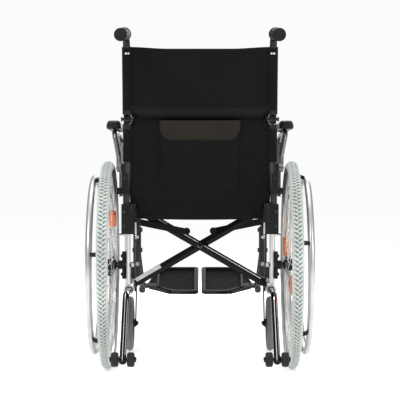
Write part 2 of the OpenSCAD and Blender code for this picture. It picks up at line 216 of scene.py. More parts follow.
def fabric(name, base, per_m=560, light=1.7, sheen=0.25, strength=0.5, rough=0.86, spec=0.1):
    """A plain weave: two crossing sets of yarns, in the object's X and Z."""
    m = Mat(name).set(Sheen_Weight=sheen, Sheen_Roughness=0.45, Specular_IOR_Level=spec)
    sep = m.node("SeparateXYZ")
    m.link(m.co, sep.inputs[0])
    warp = m.math("SINE", m.math("MULTIPLY", sep.outputs[0], per_m * math.pi))
    run = m.node("VectorMath", operation="LENGTH")
    cmb = m.node("CombineXYZ")
    m.link(sep.outputs[1], cmb.inputs[1])
    m.link(sep.outputs[2], cmb.inputs[2])
    m.link(cmb.outputs[0], run.inputs[0])
    weft = m.math("SINE", m.math("MULTIPLY", run.outputs["Value"], per_m * math.pi))
    weave = m.math("MULTIPLY", warp, weft)
    fuzz = m.noise(900, 3, 0.7)
    fade = m.noise(7, 5, 0.6)
    tone = m.math("ADD", m.range(weave, -1, 1, 0.0, 0.45), m.math("ADD", m.range(fuzz, 0.3, 0.7, 0, 0.2), m.range(fade, 0.3, 0.75, 0, 0.35)))
    m.color(m.ramp(tone, [(0.15, mix3(base, 0.62)), (0.5, base), (0.95, mix3(base, light))]))
    m.rough(m.range(fade, 0.3, 0.7, rough - 0.1, min(1, rough + 0.08)))
    w = m.bump(weave, strength, 0.0005)
    m.bump(m.noise(55, 4, 0.6), 0.18, 0.0018, w)
    return m.m


def vinyl(name, base, rough=0.42):
    m = Mat(name).set(Specular_IOR_Level=0.25, Coat_Weight=0.04, Coat_Roughness=0.35)
    v = m.node("TexVoronoi", feature="DISTANCE_TO_EDGE")
    v.inputs["Scale"].default_value = 520
    m.link(m.co, v.inputs["Vector"])
    cells = m.ramp(v.outputs["Distance"], [(0.0, 0.0), (0.12, 1.0)])
    m.color(m.ramp(m.noise(22, 6), [(0.3, mix3(base, 0.8)), (0.6, base), (0.85, mix3(base, 1.6))]))
    m.rough(m.range(m.noise(60, 5), 0.3, 0.7, rough - 0.08, rough + 0.12))
    m.bump(cells, 0.3, 0.0003)
    return m.m


M = {
    "frame": paint("frame_paint", (0.024, 0.025, 0.027), 0.32, 0.12),
    "gloss": paint("gloss_black", (0.005, 0.005, 0.0055), 0.2, 0.12, 0.5, 0.2),
    "arm": metal("arm_paint", (0.19, 0.205, 0.205), 0.38, (1, 1, 1), 0.03, 0.3),
    "satin": metal("satin_alloy", (0.74, 0.74, 0.72), 0.34, (1, 1, 12), 0.08),
    "tube": metal("polished_tube", (0.52, 0.53, 0.535), 0.24, (12, 12, 1), 0.06),
    "chrome": metal("chrome_tube", (0.66, 0.66, 0.66), 0.12, (1, 8, 1), 0.04, 0.4),
    # anti-tip tubes: chrome with a painted reflection of light and dark bands
    "tipchrome": painted_reflection_stripes("antitip_chrome"),
    "blackmetal": paint("black_metal", (0.0055, 0.0055, 0.0068), 0.36, 0.04, 0.8, 0.14),
    "black": plastic("black_plastic", (0.0065, 0.0065, 0.0065), 0.48, spec=0.24),
    "tray": plastic("tray_recess", (0.0035, 0.0035, 0.0035), 0.7, 420, 0.5, 0.1),
    "rimplastic": plastic("tray_rim", (0.013, 0.013, 0.0135), 0.5, spec=0.24),
    "hub": plastic("hub_plastic", (0.014, 0.014, 0.014), 0.5, spec=0.28),
    "zinc": metal("zinc_steel", (0.74, 0.74, 0.72), 0.24, (6, 6, 6), 0.08),
    "spoke": metal("spoke_wire", (0.62, 0.62, 0.61), 0.26, (9, 9, 9), 0.05),
    "alloy": metal("wheel_alloy", (0.58, 0.58, 0.56), 0.38, (14, 1, 1), 0.06),
    # painted highlight: a bright satin finish for the thin strip that stands in for light caught on a cross bar's edge
    "edge": metal("bright_edge", (0.85, 0.85, 0.86), 0.5, (14, 1, 1), 0.05),
    "rimalloy": metal("rim_alloy", (0.66, 0.66, 0.64), 0.36, (14, 1, 1), 0.07),
    "grip": rubber("grip_rubber", (0.0065, 0.0065, 0.0065), 0.55, 0.22, 1.8),
    "tyre": rubber("grey_tyre", (0.50, 0.545, 0.515), 0.62),
    # painted shade: darker rubber for the tyre's tread grooves, where shade falls
    "groove": rubber("tyre_groove", (0.19, 0.205, 0.20), 0.8, 0.2, 1.3),
    "caster": rubber("caster_rubber", (0.135, 0.14, 0.135), 0.6, 0.3, 1.5),
    "roller": rubber("roller_rubber", (0.013, 0.013, 0.013), 0.55, 0.22, 1.7),
    "orange": plastic("orange_plastic", (0.78, 0.155, 0.022), 0.2, 420, 0.5, 0.5, 1.15),
    "pad": vinyl("pad_skin", (0.0065, 0.0065, 0.0075)),
    "nylon": fabric("upholstery", (0.0056, 0.0056, 0.0060), light=1.9, sheen=0.03),
    "hem": fabric("hem_band", (0.0095, 0.0094, 0.0096), 620, 1.6, 0.05, 0.6),
    "flap": fabric("flap_cloth", (0.0205, 0.0180, 0.0145), 620, 1.6, 0.05, 0.5),
    "web": fabric("webbing", (0.0066, 0.0066, 0.0070), 800, 1.6, 0.04, 0.9),
    "thread": fabric("stitching", (0.014, 0.014, 0.0145), 900, 1.4, 0.05, 0.6),
    "label": plastic("blank_label", (0.72, 0.73, 0.72), 0.38, 700, 0.06, 0.45, 1.1),
    "nut": plastic("nut_insert", (0.02, 0.02, 0.022), 0.35),
}


def wear(node, mat, slot=None):
    o = NODE[node]
    o.data.materials.clear()
    o.data.materials.append(M[mat])


for k, _, _ in SIDES:
    for n, mname in (("frame", "frame"), ("rear_post", "satin"), ("axle", "black"), ("clamps", "black"), ("fasteners", "zinc"),
                     ("back_tube", "gloss"), ("push_grip", "grip"), ("rim", "rimalloy"), ("spokes", "spoke"), ("hub", "black"),
                     ("handrim", "alloy"), ("reflectors", "orange"), ("caster_fork", "blackmetal"), ("caster_hub", "hub"),
                     ("antitip_tube", "tipchrome"), ("antitip_wheels", "roller"), ("arm_frame", "arm"), ("side_guard", "black"),
                     ("brake", "zinc"), ("hanger", "frame"), ("footplate", "black"), ("link", "blackmetal")):
        wear(f"{n}_{k}", mname)
wear("cross_bar_a", "blackmetal")
wear("cross_bar_b", "blackmetal")
wear("centre_bolt", "blackmetal")


def tint(node, mat, test):
    """A second finish on the faces of a node that pass a test; the mesh itself stays as it is."""
    o = NODE[node]
    o.data.materials.append(M[mat])
    i = len(o.data.materials) - 1
    for f in o.data.polygons:
        if test(f.center * 1000 - Vector((0, OY, 0)), f.normal):
            f.material_index = i


def foot_local(p, s):
    """A point in a footplate's own axes: inward, toward the toe, up."""
    a = math.radians(24)
    x, y, z = s * p.x - 198, p.y - 690, p.z - 186
    return x, y * math.cos(a) + z * math.sin(a), z * math.cos(a) - y * math.sin(a)


for k, _, s in SIDES:
    tint(f"frame_{k}", "gloss", lambda p, n: p.z > 700)
    tint(f"fasteners_{k}", "nut", lambda p, n: p.z > 700)
    tint(f"footplate_{k}", "rimplastic", lambda p, n: True)
    tint(f"footplate_{k}", "tray", lambda p, n: foot_local(p, s)[0] < -6 and abs(foot_local(p, s)[2] + 1) < 0.4)
    tint(f"axle_{k}", "zinc", lambda p, n: math.hypot(p.y, p.z - 305) < 10.4 and (abs(p.x) < 204 or abs(p.x) > 248))
    tint(f"spokes_{k}", "spoke", lambda p, n: False)


# ---------------------------------------------------------------- mesh helpers
def new_object(name, bm, mat, smooth=True, sharp=None):
    me = bpy.data.meshes.new(name)
    bmesh.ops.recalc_face_normals(bm, faces=bm.faces)
    bm.to_mesh(me)
    bm.free()
    for p in me.polygons:
        p.use_smooth = smooth
    if sharp is not None:
        me.set_sharp_from_angle(angle=math.radians(sharp))
    o = bpy.data.objects.new(name, me)
    scene.collection.objects.link(o)
    me.materials.append(M[mat])
    return o


def shell(name, us, vs, outer, inner, mat):
    """A closed shell between two surfaces over the grid us x vs."""
    bm = bmesh.new()
    A = [[bm.verts.new(outer(u, v)) for v in vs] for u in us]
    B = [[bm.verts.new(inner(u, v)) for v in vs] for u in us]
    n, m = len(us), len(vs)
    for i in range(n - 1):
        for j in range(m - 1):
            bm.faces.new((A[i][j], A[i + 1][j], A[i + 1][j + 1], A[i][j + 1]))
            bm.faces.new((B[i][j], B[i][j + 1], B[i + 1][j + 1], B[i + 1][j]))
    for i in range(n - 1):
        bm.faces.new((A[i][0], B[i][0], B[i + 1][0], A[i + 1][0]))
        bm.faces.new((A[i][-1], A[i + 1][-1], B[i + 1][-1], B[i][-1]))
    for j in range(m - 1):
        bm.faces.new((A[0][j], A[0][j + 1], B[0][j + 1], B[0][j]))
        bm.faces.new((A[-1][j], B[-1][j], B[-1][j + 1], A[-1][j + 1]))
    return new_object(name, bm, mat)


def tube(name, pts, r, mat, sides=10, closed=False, caps=True, flat=None):
    """A round or flattened bar along points."""
    bm = bmesh.new()
    rings = []
    n = len(pts)
    up = None
    for i, p in enumerate(pts):
        a = pts[(i - 1) % n] if closed or i > 0 else p
        b = pts[(i + 1) % n] if closed or i < n - 1 else p
        d = (b - a).normalized()
        if up is None:
            up = Vector((0, 0, 1)) if abs(d.z) < 0.9 else Vector((0, 1, 0))
        s = d.cross(up).normalized()
        up = s.cross(d).normalized()
        ring = []
        for k in range(sides):
            t = 2 * math.pi * k / sides
            q = s * math.cos(t) * r + up * math.sin(t) * (r if flat is None else flat)
            ring.append(bm.verts.new(p + q))
        rings.append(ring)
    m = n if closed else n - 1
    for i in range(m):
        A, B = rings[i], rings[(i + 1) % n]
        for k in range(sides):
            bm.faces.new((A[k], A[(k + 1) % sides], B[(k + 1) % sides], B[k]))
    if not closed and caps:
        bm.faces.new(rings[0])
        bm.faces.new(rings[-1])
    return new_object(name, bm, mat, True, 50)


def lathe(name, centre, axis, profile, mat, steps=40, sharp=30):
    """A turned piece: profile is (distance along axis, radius) in mm, from axis back to axis."""
    axis = Vector(axis).normalized()
    s = axis.orthogonal().normalized()
    t = axis.cross(s)
    bm = bmesh.new()
    rings = []
    for h, r in profile:
        if r < 1e-6:
            rings.append([bm.verts.new(centre + axis * h / 1000)])
        else:
            rings.append([bm.verts.new(centre + axis * h / 1000 + (s * math.cos(2 * math.pi * k / steps) + t * math.sin(2 * math.pi * k / steps)) * r / 1000) for k in range(steps)])
    for A, B in zip(rings, rings[1:]):
        for k in range(steps):
            q = (k + 1) % steps
            vs = []
            for v in (A[k % len(A)], A[q % len(A)], B[q % len(B)], B[k % len(B)]):
                if v not in vs:
                    vs.append(v)
            if len(vs) > 2:
                bm.faces.new(vs)
    return new_object(name, bm, mat, True, sharp)


def bolt(name, centre, axis, r, mat, body, h=3.0, socket=True):
    s = r * 0.5
    prof = [(0, 0), (0, r), (h * 0.7, r), (h * 0.92, r * 0.9), (h, r * 0.74), (h, s)]
    prof += [(h * 0.3, s * 0.94), (h * 0.25, 0)] if socket else [(h * 1.08, 0)]
    o = lathe(name, centre, axis, prof, mat, 36)
    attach(o, body)
    return o


def apply_mods(o):
    dg = bpy.context.evaluated_depsgraph_get()
    me = bpy.data.meshes.new_from_object(o.evaluated_get(dg))
    o.modifiers.clear()
    old = o.data
    o.data = me
    bpy.data.meshes.remove(old)


def subdivide(o, n=1):
    s = o.modifiers.new("smooth", "SUBSURF")
    s.levels = s.render_levels = n
    apply_mods(o)
    for p in o.data.polygons:
        p.use_smooth = True


def puff(o, pinned, pressure, cap, frames=20):
    """Cloth pass: the shell swells between its pinned seams, and no point moves more than cap."""
    rest = [v.co.copy() for v in o.data.vertices]
    g = o.vertex_groups.new(name="pin")
    for i, c in enumerate(rest):
        w = pinned(c)
        if w > 0:
            g.add([i], w, "REPLACE")
    mod = o.modifiers.new("cloth", "CLOTH")
    s = mod.settings
    s.quality = 5
    s.mass = 0.2
    s.tension_stiffness = s.compression_stiffness = 18
    s.bending_stiffness = 0.6
    s.use_pressure = True
    s.uniform_pressure_force = pressure
    s.vertex_group_mass = "pin"
    s.effector_weights.gravity = 0
    mod.collision_settings.use_collision = False
    mod.point_cache.frame_start = 1
    mod.point_cache.frame_end = frames
    for f in range(1, frames + 1):
        scene.frame_set(f)
        bpy.context.view_layer.update()
    dg = bpy.context.evaluated_depsgraph_get()
    ev = o.evaluated_get(dg).to_mesh()
    moved = [v.co.copy() for v in ev.vertices]
    o.evaluated_get(dg).to_mesh_clear()
    o.modifiers.clear()
    for v, a, b in zip(o.data.vertices, rest, moved):
        d = b - a
        if d.length > cap:
            d *= cap / d.length
        v.co = a + d
    o.vertex_groups.clear()
    scene.frame_set(1)


def halves(o, names, bodies, gap=0.0):
    """Cuts a piece that spans the folding middle at X = 0 into a left and a right piece."""
    out = []
    for (name, body, s) in ((names[0], bodies[0], -1), (names[1], bodies[1], 1)):
        bm = bmesh.new()
        bm.from_mesh(o.data)
        bmesh.ops.bisect_plane(bm, geom=bm.verts[:] + bm.edges[:] + bm.faces[:], dist=1e-7, plane_co=(s * gap, 0, 0), plane_no=(-s, 0, 0), clear_outer=True)
        edges = [e for e in bm.edges if e.is_boundary]
        if edges:
            r = bmesh.ops.holes_fill(bm, edges=edges, sides=0)
            for f in r["faces"]:
                f.smooth = False
            for e in edges:
                if e.is_valid:
                    e.smooth = False
        me = bpy.data.meshes.new(name)
        bm.to_mesh(me)
        bm.free()
        p = bpy.data.objects.new(name, me)
        scene.collection.objects.link(p)
        if not me.materials:
            for mm in o.data.materials:
                me.materials.append(mm)
        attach(p, body)
        out.append(p)
    bpy.data.objects.remove(o)
    return out


def frange(a, b, step):
    n = max(1, round((b - a) / step))
    return [a + (b - a) * i / n for i in range(n + 1)]


def sm(a, b, x):
    t = max(0.0, min(1.0, (x - a) / (b - a)))
    return t * t * (3 - 2 * t)


def nz(x, y, z=0.0, s=1.0):
    return noise.noise(Vector((x * s, y * s, z * s)))


C10, S10 = math.cos(math.radians(10)), math.sin(math.radians(10))
HY = -(732 - 520) * math.tan(math.radians(10))


def L(x, y, z):
    """A point in the leaned plane of the back, whose origin is the folding hinge's axis."""
    return W(x, HY + y * C10 - z * S10, 732 + y * S10 + z * C10)


UPPER = ("panel_upper_left", "panel_upper_right")
LOWER = ("panel_lower_left", "panel_lower_right")


def band(name, line, width, thick, mat, step=7.0):
    """A flat strip of webbing laid along a line of (x, y, z) in the leaned plane; width is along Z, thick along Y."""
    bm = bmesh.new()
    rings = []
    for x, y, z in line:
        w, t = width / 2, thick / 2
        prof = [(-t, -w + 1), (-t, w - 1), (0, w), (t, w - 1), (t, -w + 1), (0, -w)]
        rings.append([bm.verts.new(L(x, y + a, z + b)) for a, b in prof])
    k = len(rings[0])
    for A, B in zip(rings, rings[1:]):
        for i in range(k):
            bm.faces.new((A[i], A[(i + 1) % k], B[(i + 1) % k], B[i]))
    bm.faces.new(rings[0])
    bm.faces.new(rings[-1])
    return new_object(name, bm, mat, True, 40)


# ---------------------------------------------------------------- upper back panel
def up_bottom(x):
    return 2.0 + 3.0 * (x / 180) ** 2 * (1 if abs(x) < 180 else 1) + 9.0 * sm(176, 190, abs(x)) if abs(x) < 190 else 14.0


def up_top(x):
    return 205.5 + 5.0 * sm(90, 205, abs(x))


def up_rear(x, z):
    """How far the rear face stands behind the back's plane."""
    ax = abs(x)
    t = (z - up_bottom(x)) / (up_top(x) - up_bottom(x))
    edge = min(1.0, 6.5 * min(t, 1 - t)) if 0 < t < 1 else 0
    slv = math.sqrt(max(0.0, 13.9 ** 2 - (ax - 212) ** 2)) if ax > 198.1 else 0
    flat = 3.0 + 5.0 * sm(226, 150, ax) * edge ** 0.5
    seam = math.exp(-((ax - 180) / 3.0) ** 2) * 2.4
    rip = 1.5 * nz(x, z, 3.1, 0.022) * edge + 0.7 * nz(x, z * 0.35, 9.0, 0.07) * edge
    hem = -1.3 * math.exp(-((z - 33.0) / 2.0) ** 2) - 1.3 * math.exp(-((z - 9.5 - up_bottom(x) * 0.4) / 2.0) ** 2)
    body = flat - seam + rip + hem * (1 if ax < 196 else 0.3)
    k = sm(190, 206, ax)
    return max(0.2, body * (1 - k) + max(slv, 0.3) * k)


def up_front(x, z):
    ax = abs(x)
    slv = math.sqrt(max(0.0, 13.9 ** 2 - (ax - 212) ** 2)) if ax > 198.1 else 0
    k = sm(190, 206, ax)
    t = (z - up_bottom(x)) / (up_top(x) - up_bottom(x))
    edge = min(1.0, 6.5 * min(t, 1 - t)) if 0 < t < 1 else 0
    flat = 2.6 + 5.0 * edge ** 0.5 * sm(205, 140, ax) + 1.0 * nz(x, z, 7.7, 0.02) * edge
    flat -= 1.6 * math.exp(-((abs(z - 108) - 36) / 2.2) ** 2)
    return max(0.2, flat * (1 - k) + max(slv, 0.3) * k)


xs = sorted(set([round(v, 3) for v in frange(-196, 196, 5.6)] + [s * (212 + d) for s in (-1, 1) for d in (-13.9, -13, -11.5, -9, -6, -3, 0, 3, 6, 9, 11.5, 13, 13.85)]))
ts = [0, 0.012, 0.03] + [0.06 + 0.88 * i / 30 for i in range(31)] + [0.97, 0.988, 1]


def upz(x, t):
    return up_bottom(x) + (up_top(x) - up_bottom(x)) * t


def rim_k(t):
    d = min(t, 1 - t)
    return math.sqrt(min(1.0, d / 0.03)) if d < 0.03 else 1.0


upper = shell("upper_back", xs, ts,
              lambda x, t: L(x, -up_rear(x, upz(x, t)) * max(0.15, rim_k(t)), upz(x, t)),
              lambda x, t: L(x, up_front(x, upz(x, t)) * max(0.15, rim_k(t)), upz(x, t)), "nylon")


def up_pin(c):
    x = c.x * 1000
    zz = (c.z * 1000 - 732) / C10
    ax = abs(x)
    if ax > 190 or abs(ax - 180) < 5 or zz < 36 or zz > 196:
        return 1.0
    return 0.0


puff(upper, up_pin, 2.2, 0.005)
subdivide(upper)
for o in halves(upper, ("upper_back_l", "upper_back_r"), UPPER):
    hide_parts("back_upper" + o.name[-2:])

# hem strip and the stitching on the upper panel
hem_line = [(x, -up_rear(x, 21) - 0.5, 12 + up_bottom(x) * 0.62 + 9) for x in frange(-204, 204, 6)]
for o in halves(band("upper_hem", hem_line, 21, 1.6, "hem"), ("upper_hem_l", "upper_hem_r"), UPPER):
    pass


def stitches(name, pts, mat="thread", length=2.6, r=0.42, every=4.2):
    """A row of thread stitches along points in metres."""
    bm = bmesh.new()
    acc, out = 0.0, []
    for a, b in zip(pts, pts[1:]):
        d = (b - a).length * 1000
        while acc < d:
            out.append((a.lerp(b, acc / d), (b - a).normalized()))
            acc += every
        acc -= d
    for p, d in out:
        s = d.orthogonal().normalized()
        t = d.cross(s)
        ring = []
        for h, q in ((-0.5, 0.35), (-0.25, 1), (0.25, 1), (0.5, 0.35)):
            ring.append([bm.verts.new(p + d * h * length / 1000 + (s * math.cos(k * math.pi / 3) + t * math.sin(k * math.pi / 3)) * r * q / 1000) for k in range(6)])
        for A, B in zip(ring, ring[1:]):
            for k in range(6):
                bm.faces.new((A[k], A[(k + 1) % 6], B[(k + 1) % 6], B[k]))
        bm.faces.new(ring[0])
        bm.faces.new(ring[-1])
    return new_object(name, bm, mat)


for k, side, s in SIDES:
    body = f"panel_upper_{side}"
    rows = []
    for x in (176.5, 183.5):
        rows.append([L(s * x, -up_rear(x, z) - 0.15, z) for z in frange(up_bottom(x) + 4, up_top(x) - 4, 4)])
    for z in (29.5, up_top(100) - 6):
        rows.append([L(s * x, -up_rear(x, z) - 0.25, z) for x in frange(3, 196, 5)])
    for i, row in enumerate(rows):
        o = stitches(f"upper_stitch_{i}_{k}", row)
        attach(o, body)
    # eyelet and screw near the top corner
    for j, (x, z) in enumerate(((206.5, 193), (213.5, 193))):
        c = L(s * x, -up_rear(x, z) + 0.3, z)
        o = bolt(f"eyelet_{j}_{k}", c, (0, -C10, -S10), 3.4, "chrome", body, 1.8, j == 0)


# ---------------------------------------------------------------- lower back panel
LZ0, LZ1 = -249.0, 17.0           # its bottom, at the seat, and its top, in front of the upper panel
STRAPS = (-52.0, -104.0, -155.0)


def low_rear(x, z):
    ax = abs(x)
    t = (z - LZ0) / (LZ1 - LZ0)
    edge = min(1.0, 9 * min(t, 1 - t)) if 0 < t < 1 else 0
    flat = 3.0 + 3.2 * edge ** 0.5 * sm(206, 150, ax)
    side = sm(112, 122, ax)
    chan = 0.0
    for s in STRAPS:
        chan += 1.7 * math.exp(-((z - s) / 2.3) ** 2) + 0.9 * math.exp(-((z - s - 18) / 2.0) ** 2)
    rip = 1.6 * nz(x, z, 21.1, 0.024) * edge + 1.1 * nz(x * 0.4, z, 5.0, 0.07) * edge
    seam = 1.6 * math.exp(-((ax - 184) / 2.6) ** 2)
    roll = 2.6 * math.exp(-((z + 226) / 15) ** 2) - 1.9 * math.exp(-((z + 204) / 2.6) ** 2)
    return max(0.6, flat + rip + roll - chan * side - seam)


def low_front(x, z):
    ax = abs(x)
    t = (z - LZ0) / (LZ1 - LZ0)
    edge = min(1.0, 9 * min(t, 1 - t)) if 0 < t < 1 else 0
    flat = 2.4 + 4.6 * edge ** 0.5 * sm(200, 120, ax) + 0.9 * nz(x, z, 31.0, 0.02) * edge
    return max(0.6, flat - 1.4 * math.exp(-((abs(z + 128) - 62) / 2.2) ** 2))


def low_fwd(z):
    """The top edge stands in front of the upper panel, clear of it as it folds."""
    return 11.2 * sm(-24, -6, z)


def low_edge(z):
    if z > -22:
        return 201.3
    return 203.0 + 4.5 * sm(-124, -136, z) - 1.0 * sm(-200, -249, z) - 1.6 * sum(math.exp(-((z - s - 9) / 14) ** 2) * -1 for s in STRAPS)


def low_x(u, z):
    return u * low_edge(z)


us = [-1, -0.996, -0.985] + frange(-0.965, 0.965, 0.028) + [0.985, 0.996, 1]
vz = [LZ0, LZ0 + 0.8, LZ0 + 2.5] + frange(LZ0 + 6, LZ1 - 6, 5.4) + [LZ1 - 2.5, LZ1 - 0.8, LZ1]


def low_k(u, z):
    d = min((1 - abs(u)) * 203, z - LZ0, LZ1 - z)
    return max(0.12, math.sqrt(min(1.0, max(0, d) / 3.2)))


lower = shell("lower_back", us, vz,
              lambda u, z: L(low_x(u, z), low_fwd(z) - (low_rear(low_x(u, z), z) * (1 - 0.45 * sm(-12, 0, z))) * low_k(u, z), z),
              lambda u, z: L(low_x(u, z), low_fwd(z) + low_front(low_x(u, z), z) * low_k(u, z), z), "nylon")


def low_pin(c):
    x, zz = abs(c.x * 1000), (c.z * 1000 - 732) / C10
    if x > 186 or zz > -24 or zz < LZ0 + 10:
        return 1.0
    if x > 112 and min(abs(zz - s) for s in STRAPS) < 4:
        return 1.0
    return 0.0


puff(lower, low_pin, 1.6, 0.004)
subdivide(lower)
for o in halves(lower, ("lower_back_l", "lower_back_r"), LOWER):
    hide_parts("back_lower" + o.name[-2:])

# sleeve of the lower panel round the back tube, split where the straps pull on it
for k, side, s in SIDES:
    body = f"panel_lower_{side}"
    for i, (a, b) in enumerate(((-125, -72.2), (-72.6, -27))):
        n = 22
        zs = frange(a, b, 4)
        bm = bmesh.new()
        rings = []
        for z in zs:
            e = min(1.0, min(z - a, b - z) / 3.0)
            ring = []
            for j in range(n):
                t = 2 * math.pi * j / n
                r = 12.3 + 1.3 * math.sqrt(max(0, e)) + 0.35 * nz(t * 4, z * 0.4, i + s)
                ring.append(bm.verts.new(L(s * (212 + r * math.cos(t)), r * math.sin(t), z)))
            rings.append(ring)
        for j in range(n):
            t = 2 * math.pi * j / n
        inner = [[bm.verts.new(L(s * (212 + 11.6 * math.cos(2 * math.pi * j / n)), 11.6 * math.sin(2 * math.pi * j / n), z)) for j in range(n)] for z in (zs[0], zs[-1])]
        for A, B in list(zip(rings, rings[1:])) + [(inner[0], rings[0]), (rings[-1], inner[1]), (inner[1], inner[0])]:
            for j in range(n):
                bm.faces.new((A[j], A[(j + 1) % n], B[(j + 1) % n], B[j]))
        o = new_object(f"sleeve_{i}_{k}", bm, "nylon", True, 60)
        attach(o, body)

# tension straps across the sides of the lower panel
for k, side, s in SIDES:
    for i, z0 in enumerate(STRAPS):
        line = [(s * x, -low_rear(x, z0 + 9) - 0.7, z0 + 9 + 0.02 * (x - 116)) for x in frange(114, 206, 6)]
        o = band(f"strap_{i}_{k}", line, 16, 1.5, "web")
        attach(o, f"panel_lower_{side}")
        for e in (-1, 1):
            row = [L(s * x, -low_rear(x, z0 + 9) - 1.6, z0 + 9 + e * 5.6 + 0.02 * (x - 116)) for x in frange(116, 200, 6)]
            o = stitches(f"strap_stitch_{i}_{e + 1}_{k}", row)
            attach(o, f"panel_lower_{side}")

# hem band behind the seat's rear edge
hem = shell("seat_back_hem", frange(-1, 1, 0.03), frange(-296, -246, 3.6),
            lambda u, z: L(u * (190 + 3 * sm(-246, -296, z)), -(3.4 + 1.2 * nz(u * 190, z, 41, 0.03) - 1.2 * math.exp(-((z + 252) / 2) ** 2) - 1.0 * math.exp(-((z + 289) / 2) ** 2)) * max(0.15, math.sqrt(min(1, (1 - abs(u)) * 60)) * math.sqrt(min(1, max(0.02, min(z + 296, -246 - z)) / 2.5))), z - 4 * (1 - u * u) * sm(-246, -296, z)),
            lambda u, z: L(u * (190 + 3 * sm(-246, -296, z)), 1.2, z - 4 * (1 - u * u) * sm(-246, -296, z)), "nylon")
subdivide(hem)
for o in halves(hem, ("seat_back_hem_l", "seat_back_hem_r"), LOWER):
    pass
for k, side, s in SIDES:
    for i, z in enumerate((-254, -287)):
        row = [L(s * x, -4.6, z - (0 if z > -260 else 4 * (1 - (x / 190) ** 2))) for x in frange(4, 184, 6)]
        o = stitches(f"hem_stitch_{i}_{k}", row)
        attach(o, f"panel_lower_{side}")

# pocket on the rear of the lower panel, with its flap and piping
PZ0, PZ1, PW = -202.0, -7.0, 115.0


def pocket_rear(x, z):
    ax = abs(x)
    d = min(PW - ax, z - PZ0, PZ1 - z)
    round_ = math.sqrt(1 - (1 - min(1.0, max(0.0, d) / 13.0)) ** 2)
    sag = 1 + 0.25 * sm(-60, -170, z)
    return 6.2 + 9.5 * round_ * sag + 1.1 * nz(x, z, 55, 0.02) * round_ + 0.8 * nz(x * 0.5, z, 3, 0.06) * round_


pocket = shell("pocket", [-PW, -PW + 0.8, -PW + 2.4] + frange(-PW + 5, PW - 5, 5.2) + [PW - 2.4, PW - 0.8, PW],
               [PZ0, PZ0 + 0.8, PZ0 + 2.4] + frange(PZ0 + 5, PZ1 - 5, 5.2) + [PZ1 - 2.4, PZ1 - 0.8, PZ1],
               lambda x, z: L(x, -pocket_rear(x, z), z), lambda x, z: L(x, -5.0, z), "nylon")


def pocket_pin(c):
    x, zz = abs(c.x * 1000), (c.z * 1000 - 732) / C10
    return 1.0 if x > PW - 7 or zz > PZ1 - 8 or zz < PZ0 + 7 else 0.0


puff(pocket, pocket_pin, 0.9, 0.003)
subdivide(pocket)
for o in halves(pocket, ("pocket_l", "pocket_r"), LOWER):
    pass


def flap_low(x):
    """Lower edge of the flap: chamfered at both bottom corners."""
    return -61.0 + max(0.0, abs(x) - 94) * 26.0 / 21.0


def flap_y(x, z, lift):
    return -(pocket_rear(x * 0.985, max(min(z, PZ1 - 6), PZ0)) + lift + 0.8 * nz(x, z, 70, 0.03))


fu = [-1, -0.995, -0.98] + frange(-0.96, 0.96, 0.045) + [0.98, 0.995, 1]
fv = [0, 0.015, 0.05] + frange(0.1, 0.9, 0.08) + [0.95, 0.985, 1]


def flap_p(u, v, y0):
    x = u * 117.5
    z = flap_low(x) + (-1.5 - flap_low(x)) * v
    d = min(1 - abs(u), v, 1 - v)
    return L(x, flap_y(x, z, y0), z)


flap = shell("pocket_flap", fu, fv,
             lambda u, v: flap_p(u, v, 1.1 + 2.2 * math.sqrt(min(1, min((1 - abs(u)) * 30, v * 16, (1 - v) * 16)))),
             lambda u, v: flap_p(u, v, 0.5), "flap")
subdivide(flap)
for o in halves(flap, ("pocket_flap_l", "pocket_flap_r"), LOWER):
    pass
edge = [(-117, -3)] + [(-117, z) for z in frange(-8, -33, 5)] + [(-94, -61)] + [(x, -61) for x in frange(-88, 88, 8)] + [(94, -61)] + [(117, z) for z in frange(-33, -8, 5)] + [(117, -3)]
pts = [L(x, flap_y(x, z, 3.2), z) for x, z in edge]
piping = tube("flap_piping", pts, 0.0019, "hem", 10)
for o in halves(piping, ("flap_piping_l", "flap_piping_r"), LOWER):
    pass
for k, side, s in SIDES:
    row = [L(s * x, flap_y(x, -55, 3.6), -55) for x in frange(3, 92, 5)]
    o = stitches(f"flap_stitch_{k}", row)
    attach(o, f"panel_lower_{side}")
    rim_line = [(s * (PW - 0.5), z) for z in frange(-30, PZ0 + 6, 6)] + [(s * (PW - 6), PZ0 + 0.5)] + [(s * x, PZ0 + 0.5) for x in frange(PW - 12, 0.2, 8)]
    o = tube(f"pocket_piping_{k}", [L(x, -6.2, z) for x, z in rim_line], 0.0015, "nylon", 10)
    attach(o, f"panel_lower_{side}")


# ---------------------------------------------------------------- seat
SY0, SY1 = 22.0, 427.0


def seat_top(x, y):
    ax = abs(x)
    t = (y - SY0) / (SY1 - SY0)
    edge = min(1.0, 12 * min(t, 1 - t)) if 0 < t < 1 else 0
    sag = -4.2 * (1 - (ax / 200) ** 2) * (0.6 + 0.4 * math.sin(math.pi * t)) if ax < 200 else 0
    z = 490.3 + sag + 1.4 * edge + 0.9 * nz(x, y, 80, 0.015)
    for q in (70, 140):
        z -= 1.1 * math.exp(-((ax - q) / 2.4) ** 2)
    z -= 1.1 * math.exp(-((y - SY0 - 22) / 2.4) ** 2) + 1.1 * math.exp(-((y - SY1 + 22) / 2.4) ** 2)
    return z


def wrap(x, y, r):
    """Seat cloth wrapped over its rail: x beyond 208 turns down round the rail."""
    ax, s = abs(x), (1 if x >= 0 else -1)
    if ax <= 203:
        return None
    a = min((ax - 203) / 13.2, 1.95)
    return Vector((s * (206 + r * math.sin(a)), y, 473 + r * math.cos(a)))


